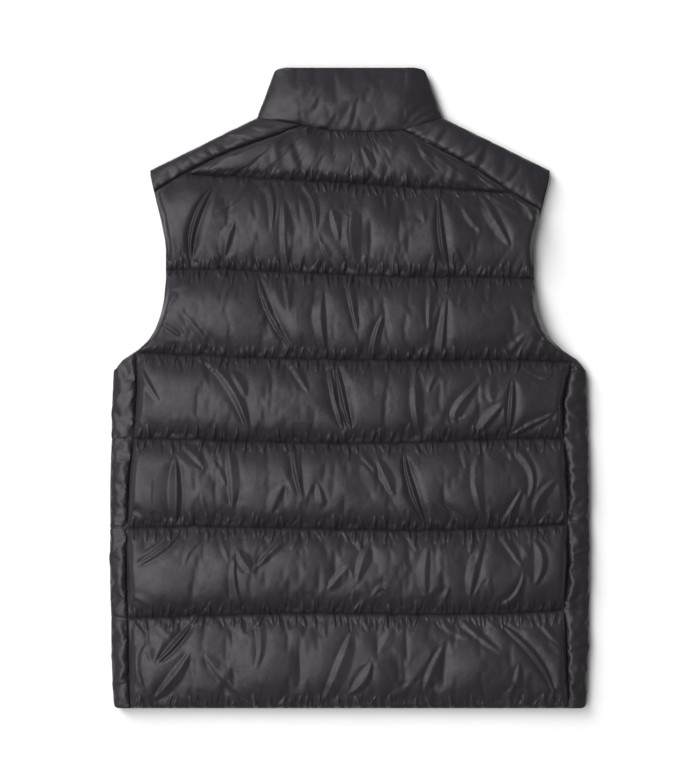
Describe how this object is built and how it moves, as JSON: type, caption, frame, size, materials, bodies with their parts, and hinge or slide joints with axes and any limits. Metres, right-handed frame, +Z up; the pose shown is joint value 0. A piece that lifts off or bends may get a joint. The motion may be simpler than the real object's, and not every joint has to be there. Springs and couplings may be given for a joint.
{
  "type": "puffer vest",
  "caption": "Quilted, padded sleeveless vest with a stand collar and a front zip, laid flat with its back up and its fronts wrapped round the sides and shoulders.",
  "frame": {"origin": "on the surface that the vest lies on, under the middle of the whole vest", "axes": "+Y from the hem to the collar, +X to the wearer's right, +Z up out of the back, away from the surface"},
  "size_m": [0.5497, 0.732, 0.0312],
  "materials": {
    "shell_nylon": "satin nylon taffeta, softly shiny",
    "zip_tape": "matt woven tape",
    "zip_teeth": "moulded plastic",
    "zip_metal": "dark plated metal"
  },
  "bodies": {
    "vest": {"back_panel": "shell_nylon", "front_left": "shell_nylon", "front_right": "shell_nylon", "collar": "shell_nylon", "zip_tape_left": "zip_tape", "zip_tape_right": "zip_tape", "zip_chain": "zip_teeth", "zip_slider": "zip_metal", "zip_box": "zip_teeth"},
    "pull_tab": {"zip_pull": "zip_metal"}
  },
  "joints": [
    {"name": "pull_tab_swing", "type": "hinge", "parent": "vest", "child": "pull_tab", "pos_m": [0, 0.325, 0.0025], "axis": [1, 0, 0], "range_deg": [0, 170]}
  ]
}
